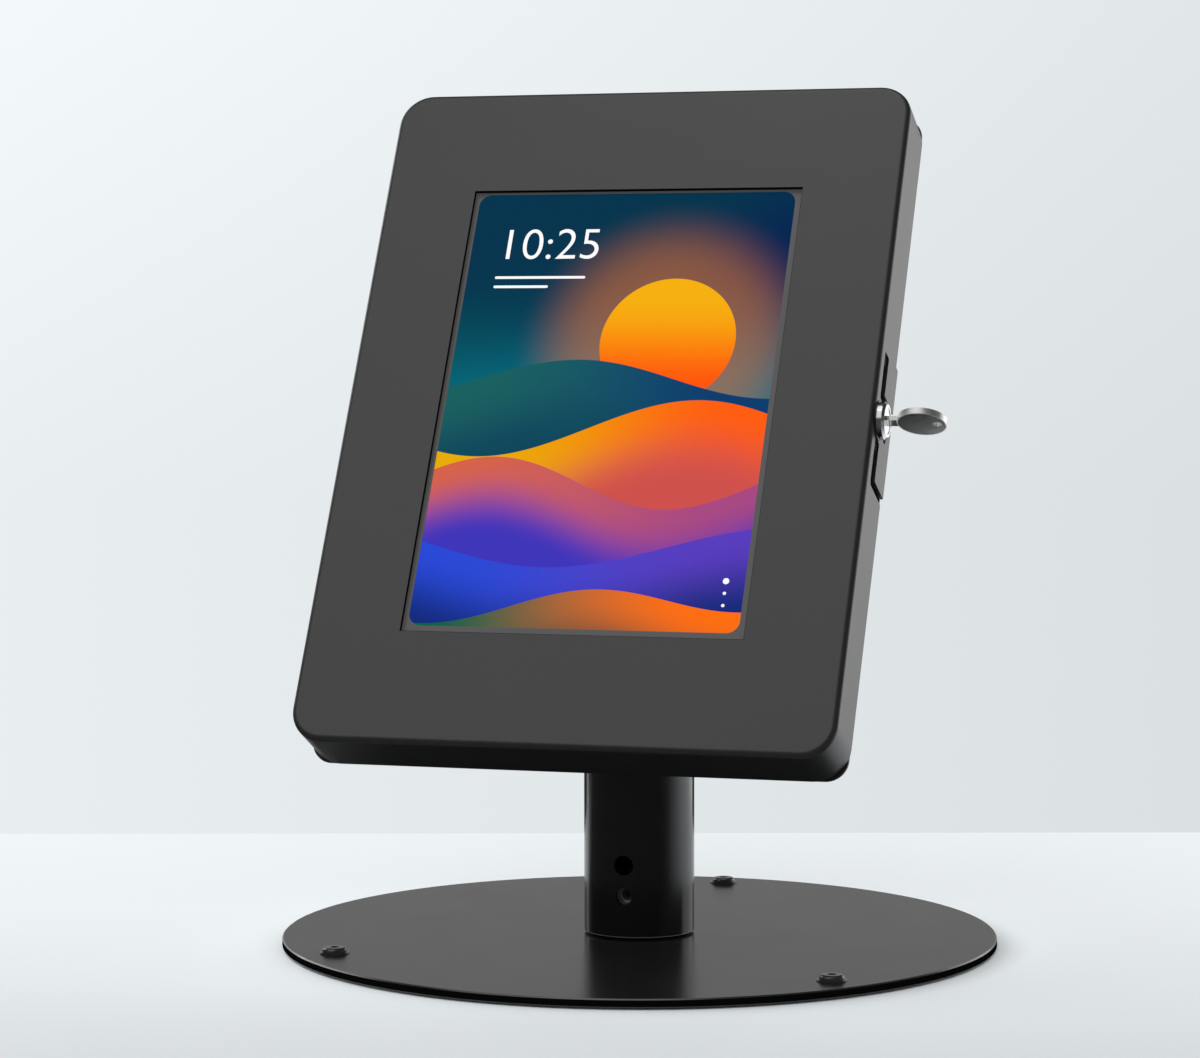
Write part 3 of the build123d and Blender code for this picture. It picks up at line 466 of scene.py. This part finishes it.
def ridge_line(level, swing, pitch, shift, slope=0.0):
    """Height of a rolling line, in mm, at each place across."""
    angle = compute(picture, "MULTIPLY_ADD", across, 2 * math.pi / pitch, shift)
    wave = compute(picture, "MULTIPLY", compute(picture, "SINE", angle), swing)
    tilted = compute(picture, "MULTIPLY_ADD", across, slope, level)
    return compute(picture, "ADD", wave, tilted)


def lay_ridge(behind, line, crest_left, crest_right, foot, fade):
    """Lays a ridge over what is behind it."""
    depth_below = compute(picture, "SUBTRACT", line, height)
    crest = tint(picture, smooth_step(across, *crest_ends), crest_left, crest_right)
    body = tint(picture, smooth_step(depth_below, 0.0, fade), crest, foot)
    return tint(picture, smooth_step(depth_below, -soft_edge, soft_edge), behind, body)


# %% Sky
sky_foot, sky_top = -20.0, 80.0
green_slope, green_from, green_to, green_most = -0.6, 20.0, 105.0, 0.35
sky = tint(picture, smooth_step(height, sky_foot, sky_top), colour(0, 112, 128), colour(0, 34, 82))
green_height = compute(picture, "MULTIPLY_ADD", across, green_slope, height)
green_share = compute(picture, "MULTIPLY", smooth_step(green_height, green_from, green_to), green_most)
sky = tint(picture, green_share, sky, colour(0, 74, 66))
print("sky from", sky_foot, "to", sky_top)

# %% Sun with its glow
sun_at = (26.0, 34.0)
sun_radius = 33.0
sun_shading = 30.0
glow_from, glow_to, glow_most = 78.0, 30.0, 0.45
sun_across = compute(picture, "SUBTRACT", across, sun_at[0])
sun_height = compute(picture, "SUBTRACT", height, sun_at[1])
sun_squares = compute(picture, "ADD", compute(picture, "MULTIPLY", sun_across, sun_across),
                      compute(picture, "MULTIPLY", sun_height, sun_height))
sun_reach = compute(picture, "SQRT", sun_squares)
glow_share = compute(picture, "MULTIPLY", smooth_step(sun_reach, glow_from, glow_to), glow_most)
sky = tint(picture, glow_share, sky, colour(196, 120, 40))
sun_share = smooth_step(sun_height, -sun_shading, sun_shading)
sun_body = tint(picture, sun_share, colour(255, 84, 6), colour(246, 176, 10))
sky = tint(picture, smooth_step(sun_reach, sun_radius + soft_edge, sun_radius - soft_edge), sky, sun_body)
print("sun at", sun_at, "radius", sun_radius)

# %% Ridges, each with its line, the tones of its crest and foot, and the depth of its fade
ridges = (
    ((14.0, 10.0, 190.0, 2.1), (24, 96, 96), (8, 60, 110), (10, 70, 92), 50.0),
    ((-12.0, 15.0, 210.0, 0.2), (232, 172, 0), (255, 92, 10), (206, 80, 76), 46.0),
    ((-40.0, 13.0, 170.0, 3.4), (214, 98, 72), (168, 72, 130), (62, 52, 186), 42.0),
    ((-72.0, 11.0, 230.0, 5.2), (40, 72, 214), (88, 60, 190), (14, 40, 120), 46.0),
    ((-101.0, 7.0, 150.0, 1.3, 0.06), (8, 96, 72), (255, 110, 12), (10, 70, 60), 40.0),
)
scene_colour = sky
for line, crest_left, crest_right, foot, fade in ridges:
    tones = [colour(*levels) for levels in (crest_left, crest_right, foot)]
    scene_colour = lay_ridge(scene_colour, ridge_line(*line), *tones, fade)
wire(picture, scene_colour, glass.inputs["Emission Color"])
glass.inputs["Emission Strength"].default_value = 1.0
print("ridges on the display", len(ridges))

# %% [markdown]
# ## A finish for every measured part
#
# The solids keep their shape and place. Each one gets the finish that its real piece has, by its name.

# %% Dress the measured parts
finishes = {
    cover_coat: ("front_cover",),
    tray_coat: ("back_tray", "rotor_plate"),
    base_coat: ("base_plate",),
    post_coat: ("post_tube", "post_head", "head_block"),
    screw_black: ("base_screws", "head_screws"),
    pin_nylon: ("slide_pins",),
    dark_oxide: ("post_set_screw",),
    washer_black: ("lock_washer",),
    foot_rubber: ("base_feet",),
    foam_black: ("foam_pads",),
    carrier_plastic: ("tablet_backer",),
    bearing_plastic: ("friction_washers", "thrust_washer"),
    bezel_glass: ("tablet_bezel",),
    display: ("tablet_screen",),
    case_metal: ("tablet_case",),
    lock_chrome: ("lock_body", "lock_plug"),
    key_nickel: ("key",),
    zinc_plate: ("foot_plug", "plug_bolts", "tilt_bolt", "tilt_washers", "tilt_nut", "stop_pin",
                 "clamp_washer", "clamp_nut", "rotor_screws", "catch_bracket", "catch_screws",
                 "tablet_standoffs", "backer_screws", "edge_clips", "clip_screws", "lock_nut", "lock_cam",
                 "cam_screw"),
}
dressed = set()
for finish, names in finishes.items():
    for name in names:
        part = frame["nodes"][name]
        part.data.materials.clear()
        part.data.materials.append(finish)
        dressed.add(name)
print("left without a finish:", sorted(set(frame["nodes"]) - dressed))

# %% [markdown]
# ## Rubber edging on the cable slot
#
# Where the charging cable passes the rear tray, a rubber bead keeps the sheet's edge from cutting it. A
# torus has the right section already. Pulling its two halves apart turns the ring into the slot's oval,
# with straight sides between.

# %% Helpers for modelled pieces
smooth_under = math.radians(40)
off_middle_share = 0.02


def start_piece():
    """Clears the selection, because operators act on everything that is selected."""
    if bpy.context.mode != "OBJECT":
        bpy.ops.object.mode_set(mode="OBJECT")
    bpy.ops.object.select_all(action="DESELECT")


def pick(piece, test):
    """Selects the vertices of a piece in edit mode for which the test holds."""
    bpy.ops.object.mode_set(mode="OBJECT")
    for vertex in piece.data.vertices:
        vertex.select = bool(test(vertex.co))
    for edge in piece.data.edges:
        edge.select = all(piece.data.vertices[index].select for index in edge.vertices)
    for face in piece.data.polygons:
        face.select = all(piece.data.vertices[index].select for index in face.vertices)
    bpy.ops.object.mode_set(mode="EDIT")


def settle(piece, name, matrix, finish, body):
    """Puts a piece drawn flat at the origin into its place, in its mesh, and hands it to its body."""
    start_piece()
    piece.name = name
    piece.select_set(True)
    bpy.context.view_layer.objects.active = piece
    piece.matrix_world = matrix @ piece.matrix_world
    bpy.ops.object.transform_apply(location=True, rotation=True, scale=True)
    piece.data.materials.clear()
    piece.data.materials.append(finish)
    bpy.ops.object.shade_smooth_by_angle(angle=smooth_under)
    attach(piece, body)
    print(name, "faces", len(piece.data.polygons))


# %% Model the edging
slot_bead = 1.4 * MM
slot_half_width = 9.0 * MM
slot_half_straight = 16.0 * MM
tilt_axis = Vector(joints["head_tilt"]["pos_m"])
tray_middle_out = 30.75 * MM
slot_up = -96.0 * MM
slot_origin = tilt_axis + face_out * tray_middle_out + face_up * slot_up
start_piece()
bpy.ops.mesh.primitive_torus_add(major_radius=slot_half_width, minor_radius=slot_bead, major_segments=64,
                                 minor_segments=14)
edging = bpy.context.object
for side in (-1, 1):
    pick(edging, lambda place: place.x * side > slot_half_width * off_middle_share)
    bpy.ops.transform.translate(value=(side * slot_half_straight, 0, 0))
bpy.ops.object.mode_set(mode="OBJECT")
settle(edging, "cable_slot_edging", face_matrix(slot_origin), foot_rubber, "enclosure")

# %% [markdown]
# ## Numbers and controls on the display
#
# A kiosk's idle page shows the time and a few plain controls. The digits are a text object turned into a
# mesh, and the controls are flat discs and bars with rounded ends. They lie a hair above the glass and
# glow white.

# %% Glowing white
glow, glow_tree, glow_shader = new_finish("display_white")
glow_shader.inputs["Base Color"].default_value = grey(4)
glow_shader.inputs["Roughness"].default_value = 0.2
flicker = grain(glow_tree, 5 * MM)
wire(glow_tree, tint(glow_tree, flicker, grey(246), grey(252)), glow_shader.inputs["Emission Color"])
glow_shader.inputs["Emission Strength"].default_value = 1.0
print("glowing finish", glow.name)

# %% The time
glow_lift = 0.04 * MM
digit_height = 17.0 * MM
size_over_height = 1.4
digit_thinning = -0.2 * MM
digit_thickness = 0.01 * MM
digits_right, digits_up = -66.0 * MM, 78.0 * MM


def on_display(right, up):
    """Matrix that lays a flat drawing on the glass, this far from its middle."""
    return face_matrix(screen_front + face_right * right + face_up * up + face_out * glow_lift)


start_piece()
bpy.ops.object.text_add()
clock = bpy.context.object
clock.data.body = "10:25"
clock.data.size = digit_height * size_over_height
clock.data.offset = digit_thinning
clock.data.extrude = digit_thickness
bpy.ops.object.convert(target="MESH")
settle(clock, "display_time", on_display(digits_right, digits_up), glow, "enclosure")

# %% Bars and discs


def rounded_bar(name, right, up, length, radius):
    """Flat bar with round ends, or a disc where its length is zero."""
    start_piece()
    bpy.ops.mesh.primitive_circle_add(vertices=48, radius=radius, fill_type="NGON")
    bar = bpy.context.object
    if length:
        for side in (-1, 1):
            pick(bar, lambda place: place.x * side > radius * off_middle_share)
            bpy.ops.transform.translate(value=(side * length / 2, 0, 0))
        bpy.ops.object.mode_set(mode="OBJECT")
    settle(bar, name, on_display(right, up), glow, "enclosure")


bar_list = (
    ("display_bar_long", -42.0, 68.0, 44.0, 0.7),
    ("display_bar_short", -51.0, 63.0, 26.0, 0.7),
    ("display_dot_top", 70.0, -88.0, 0.0, 1.5),
    ("display_dot_middle", 70.0, -94.0, 0.0, 0.8),
    ("display_dot_low", 70.0, -100.0, 0.0, 0.8),
)
for name, right, up, length, radius in bar_list:
    rounded_bar(name, right * MM, up * MM, length * MM, radius * MM)

# %% [markdown]
# ## The camera
#
# The camera stands where the photographer's did. Its place and its three angles were solved from the
# edges of the base, the post and the face, and its focal length is given in pixels of the photograph,
# because that is how such a solution comes out. The lens in millimetres follows from it and from the
# sensor's width.

# %% Camera at the photograph's angle
camera_at = Vector((0.48820, -1.63540, 0.30181))
camera_yaw = 0.3011232142
camera_pitch = 0.0593746264
camera_roll = -0.0013808412
focal_pixels = 3548.365
image_width_pixels = 1200.0
sensor_width = 36.0
ahead = Vector((-math.sin(camera_yaw) * math.cos(camera_pitch), math.cos(camera_yaw) * math.cos(camera_pitch),
                -math.sin(camera_pitch)))
level_right = Vector((math.cos(camera_yaw), math.sin(camera_yaw), 0.0))
level_up = level_right.cross(ahead)
camera_up = level_up * math.cos(camera_roll) - level_right * math.sin(camera_roll)
camera_right = level_right * math.cos(camera_roll) + level_up * math.sin(camera_roll)
start_piece()
bpy.ops.object.camera_add()
camera = bpy.context.object
camera.name = "camera"
camera.data.sensor_width = sensor_width
camera.data.lens = focal_pixels / image_width_pixels * sensor_width
camera.data.clip_end = 50.0
camera.matrix_world = (Matrix.Translation(camera_at)
                       @ Matrix((camera_right, camera_up, -ahead)).transposed().to_4x4())
bpy.context.scene.camera = camera
print("lens", round(camera.data.lens, 2), "mm")

# %% [markdown]
# ## The floor
#
# The object stands on pale paper whose far edge shows as a straight line. One plane does for it, and its
# tone carries painted light and shade worked out from the place: painted shade towards the camera, and a
# little painted light to the right. Close beside the base the floor gets more painted light, more at its
# two sides than in front, and that fades within a hand's breadth or two. A narrow strip along the base's
# right half goes without that painted light, so that the rendered shadow shows there as a thin dark line
# of contact.

# %% Floor
floor_behind = 0.362
floor_ahead = 3.0
floor_half_width = 3.0
floor_turn = Matrix.Rotation(camera_yaw, 4, "Z")
start_piece()
bpy.ops.mesh.primitive_plane_add(size=1)
floor = bpy.context.object
floor.scale = (2 * floor_half_width, floor_behind + floor_ahead, 1)
floor.location = (0, (floor_behind - floor_ahead) / 2, 0)
bpy.context.view_layer.update()
floor.matrix_world = floor_turn @ floor.matrix_world
bpy.ops.object.transform_apply(location=True, rotation=True, scale=True)
floor.name = "floor"
print("floor", [round(side, 3) for side in floor.dimensions[:2]])

# %% The floor's tone, far and near, with painted shade and painted light
floor_paint, floor_tree, floor_shader = new_finish("floor_paint")
floor_place = seen_from(floor_tree, (0.0, 0.0, 0.0), (0.0, 0.0, camera_yaw), (1.0, 1.0, 1.0))
floor_axes = parts_of(floor_tree, floor_place)
near_slope, near_shift = -2.4, 0.24
right_slope, right_shift = 1.0, 0.5
near_painted_shade = clamp(floor_tree, compute(floor_tree, "MULTIPLY_ADD", floor_axes["Y"], near_slope, near_shift))
right_painted_light = compute(floor_tree, "MULTIPLY_ADD", floor_axes["X"], right_slope, right_shift)
right_painted_light = clamp(floor_tree, right_painted_light)
# Painted shade towards the camera and painted light to the right.
far_tone = tint(floor_tree, right_painted_light, colour(232, 237, 240), colour(237, 242, 245))
floor_tone = tint(floor_tree, near_painted_shade, far_tone, colour(212, 217, 220))
print("darkest from", round((near_shift - 1) / near_slope, 3), "m towards the camera")

# %% Painted light on the floor beside the base
painted_lift_from = 0.18
painted_lift_fade = 0.05
painted_lift_most = 0.20
painted_lift_ahead_share = 0.2
contact_shadow_edge = (0.176, 0.188)
reach = combine(floor_tree, "LENGTH", floor_place, output="Value")
sideways = compute(floor_tree, "DIVIDE", floor_axes["X"], reach)
sideways = compute(floor_tree, "MULTIPLY_ADD", compute(floor_tree, "MULTIPLY", sideways, sideways),
                   1.0 - painted_lift_ahead_share, painted_lift_ahead_share)
fading = compute(floor_tree, "EXPONENT",
                 compute(floor_tree, "MULTIPLY_ADD", reach, -1 / painted_lift_fade, painted_lift_from / painted_lift_fade))
fading = compute(floor_tree, "MINIMUM", fading, 1.0)
# Painted light beside the base, left out along the contact strip on the right.
painted_lift = compute(floor_tree, "MULTIPLY", compute(floor_tree, "MULTIPLY", sideways, fading), painted_lift_most)
off_contact_shadow = compute(floor_tree, "MAXIMUM", ramp(floor_tree, reach, *contact_shadow_edge),
                      compute(floor_tree, "LESS_THAN", floor_axes["X"], 0.0))
painted_lift = compute(floor_tree, "MULTIPLY", painted_lift, off_contact_shadow)
painted_lift_tone = floor_tree.nodes.new("ShaderNodeVectorMath")
painted_lift_tone.operation = "SCALE"
wire(floor_tree, floor_tone, painted_lift_tone.inputs[0])
wire(floor_tree, compute(floor_tree, "ADD", painted_lift, 1.0), painted_lift_tone.inputs["Scale"])
wire(floor_tree, painted_lift_tone.outputs["Vector"], floor_shader.inputs["Base Color"])
floor_shader.inputs["Roughness"].default_value = 0.6
floor_shader.inputs["Specular IOR Level"].default_value = 0.1
floor.data.materials.append(floor_paint)
print("floor nodes", len(floor_tree.nodes))

# %% [markdown]
# ## The world
#
# The wall behind the stand is no object but the world's background, and it has three faces. The camera
# sees a pale wall. Reflections see a darker room, which is lighter only ahead, near the horizon, so that
# the black paint stays black. All other light comes from a plain, nearly white fill. The Light Path node
# tells the three apart.

# %% The wall that the camera sees
wall_left_to_right = (-0.20, 0.18)
wall_low_to_high = (-0.05, 0.09)
world = bpy.data.worlds.new("studio")
bpy.context.scene.world = world
world.use_nodes = True
sky_tree = world.node_tree
sky_tree.nodes.clear()
seen = sky_tree.nodes.new("ShaderNodeBackground")
sky_way = sky_tree.nodes.new("ShaderNodeTexCoord").outputs["Generated"]
way_up = parts_of(sky_tree, sky_way)["Z"]
way_right = combine(sky_tree, "DOT_PRODUCT", sky_way, level_right, output="Value")
wall_share = ramp(sky_tree, way_right, *wall_left_to_right)
low_wall = tint(sky_tree, wall_share, colour(234, 239, 242), colour(218, 223, 226))
high_wall = tint(sky_tree, wall_share, colour(246, 251, 254), colour(225, 230, 233))
height_share = ramp(sky_tree, way_up, *wall_low_to_high)
wire(sky_tree, tint(sky_tree, height_share, low_wall, high_wall), seen.inputs["Color"])
print("wall nodes", len(sky_tree.nodes))

# %% The room that reflections see
way_ahead = combine(sky_tree, "DOT_PRODUCT", sky_way, (-math.sin(camera_yaw), math.cos(camera_yaw), 0.0),
                    output="Value")
room_share = 1.0
room_edges = ((way_ahead, 0.40, 0.90), (way_up, 0.55, 0.20), (way_up, -0.13, 0.0))
for value, low, high in room_edges:
    room_share = compute(sky_tree, "MULTIPLY", ramp(sky_tree, value, low, high, "SMOOTHSTEP"), room_share)
room = sky_tree.nodes.new("ShaderNodeBackground")
wire(sky_tree, tint(sky_tree, room_share, grey(40), grey(170)), room.inputs["Color"])
print("wall and room nodes", len(sky_tree.nodes))

# %% The fill for all other light, and the choice between the three
fill_strength = 0.86
fill = sky_tree.nodes.new("ShaderNodeBackground")
fill.inputs["Color"].default_value = grey(250)
fill.inputs["Strength"].default_value = fill_strength
ray = sky_tree.nodes.new("ShaderNodeLightPath")
behind = fill
for kind, background in (("Is Glossy Ray", room), ("Is Camera Ray", seen), ("Is Transmission Ray", seen)):
    blend = sky_tree.nodes.new("ShaderNodeMixShader")
    sky_tree.links.new(ray.outputs[kind], blend.inputs[0])
    sky_tree.links.new(behind.outputs[0], blend.inputs[1])
    sky_tree.links.new(background.outputs[0], blend.inputs[2])
    behind = blend
sky_out = sky_tree.nodes.new("ShaderNodeOutputWorld")
sky_tree.links.new(behind.outputs[0], sky_out.inputs["Surface"])
print("world nodes", len(sky_tree.nodes))

# %% [markdown]
# ## The lamps
#
# A product photograph is lit by large soft boxes, and their reflections draw the edges of black things.
# Each lamp here is a rectangle that shines at a point on the stand. It is given by the way to it, its
# distance, its size and its radiance. The watts follow from radiance and area, so a lamp can grow without
# its reflection getting darker.

# %% Lamps


def soft_box(name, direction, distance, width, height, radiance, target=(0.0, 0.0, 0.22)):
    """Rectangular lamp that shines at the target from this direction."""
    start_piece()
    bpy.ops.object.light_add(type="AREA")
    lamp = bpy.context.object
    lamp.name = name
    lamp.data.shape = "RECTANGLE"
    lamp.data.size = width
    lamp.data.size_y = height
    lamp.data.energy = radiance * math.pi * width * height
    way = Vector(direction).normalized()
    lamp.location = Vector(target) + way * distance
    lamp.rotation_euler = way.to_track_quat("Z", "Y").to_euler()
    print(name, "watts", round(lamp.data.energy, 1))


def heading(degrees_right, up=0.0):
    """Direction from the object, this far to the right of the camera's way ahead."""
    angle = camera_yaw - math.radians(degrees_right)
    return Vector((-math.sin(angle), math.cos(angle), up))


soft_box("key_box", (-0.34, -0.60, 0.75), 2.0, 2.1, 1.9, 0.74)
soft_box("overhead", (0.0, -0.10, 1.0), 1.6, 1.0, 1.0, 1.0)
soft_box("left_strip", heading(-43), 1.3, 0.16, 0.8, 1.2, target=(0.0, 0.0, 0.12))
soft_box("left_high", heading(-46, 0.45), 1.6, 0.9, 0.7, 1.8)
soft_box("right_panel", heading(56), 1.5, 1.25, 1.2, 1.3, target=(0.0, 0.0, 0.28))
soft_box("right_glow", heading(108), 1.6, 1.6, 0.5, 0.09, target=(0.0, 0.0, 0.08))

# %% [markdown]
# ## The dark card
#
# A photographer keeps a black post black with a dark card, called a flag, beside the camera. This one is
# a curved wall behind the camera, with a floor that reaches in almost to the base, and only reflections
# see it. It starts as a circle that is extruded up, and whose lower edge is extruded inwards. The part
# ahead of the camera is deleted. Towards its two ends the card turns transparent by degrees, so that the
# post shows no hard edge.

# %% Dark card, seen by reflections alone
card_distance = 2.3
card_height = 0.95
card_lift = 0.5 * MM
card_foot_share = 0.0776
card_half_turn = math.radians(122.5)
card_steps = 24
start_piece()
bpy.ops.mesh.primitive_circle_add(vertices=2 * card_steps, radius=card_distance)
card = bpy.context.object
card.name = "dark_card"
card_middle = heading(202.5)
bpy.ops.object.mode_set(mode="EDIT")
bpy.ops.mesh.select_all(action="SELECT")
bpy.ops.mesh.extrude_region_move(TRANSFORM_OT_translate={"value": (0, 0, card_height)})
pick(card, lambda place: place.z < card_height / 2)
bpy.ops.mesh.extrude_region_move(TRANSFORM_OT_translate={"value": (0, 0, card_lift)})
bpy.ops.transform.resize(value=(card_foot_share, card_foot_share, 1), center_override=(0, 0, 0))
pick(card, lambda place: Vector((place.x, place.y, 0)).angle(card_middle) > card_half_turn)
bpy.ops.mesh.delete(type="VERT")
bpy.ops.object.mode_set(mode="OBJECT")
print("card faces", len(card.data.polygons))

# %% The card's tone and its fading ends
right_end, left_end, side_change = (-0.17, 0.71), (-0.74, -0.44), (-0.01, 0.01)
card_black, card_tree, card_shader = new_finish("card_black")
card_shader.inputs["Base Color"].default_value = grey(56)
card_shader.inputs["Roughness"].default_value = 0.9
card_way = combine(card_tree, "NORMALIZE",
                   combine(card_tree, "MULTIPLY", object_place(card_tree), (1.0, 1.0, 0.0)))
way_back = combine(card_tree, "DOT_PRODUCT", card_way, heading(180), output="Value")
way_aside = combine(card_tree, "DOT_PRODUCT", card_way, heading(90), output="Value")
right_cover = ramp(card_tree, way_back, *right_end, "SMOOTHSTEP")
left_cover = ramp(card_tree, way_back, *left_end, "SMOOTHSTEP")
on_right = ramp(card_tree, way_aside, *side_change, "SMOOTHSTEP")
cover_gap = compute(card_tree, "SUBTRACT", right_cover, left_cover)
card_cover = compute(card_tree, "MULTIPLY_ADD", cover_gap, on_right, left_cover)
card_blend = card_tree.nodes.new("ShaderNodeMixShader")
wire(card_tree, card_cover, card_blend.inputs[0])
wire(card_tree, card_tree.nodes.new("ShaderNodeBsdfTransparent").outputs[0], card_blend.inputs[1])
wire(card_tree, card_shader.outputs[0], card_blend.inputs[2])
wire(card_tree, card_blend.outputs[0], card_tree.nodes["Material Output"].inputs["Surface"])
card.data.materials.append(card_black)
card.visible_camera = False
card.visible_diffuse = False
card.visible_shadow = False
card.visible_transmission = False
print("card nodes", len(card_tree.nodes))

# %% [markdown]
# ## Plain colour handling
#
# The view transform stays Standard, so that a colour shows as it is written.

# %% Close the scene
bpy.context.scene.view_settings.view_transform = "Standard"
start_piece()
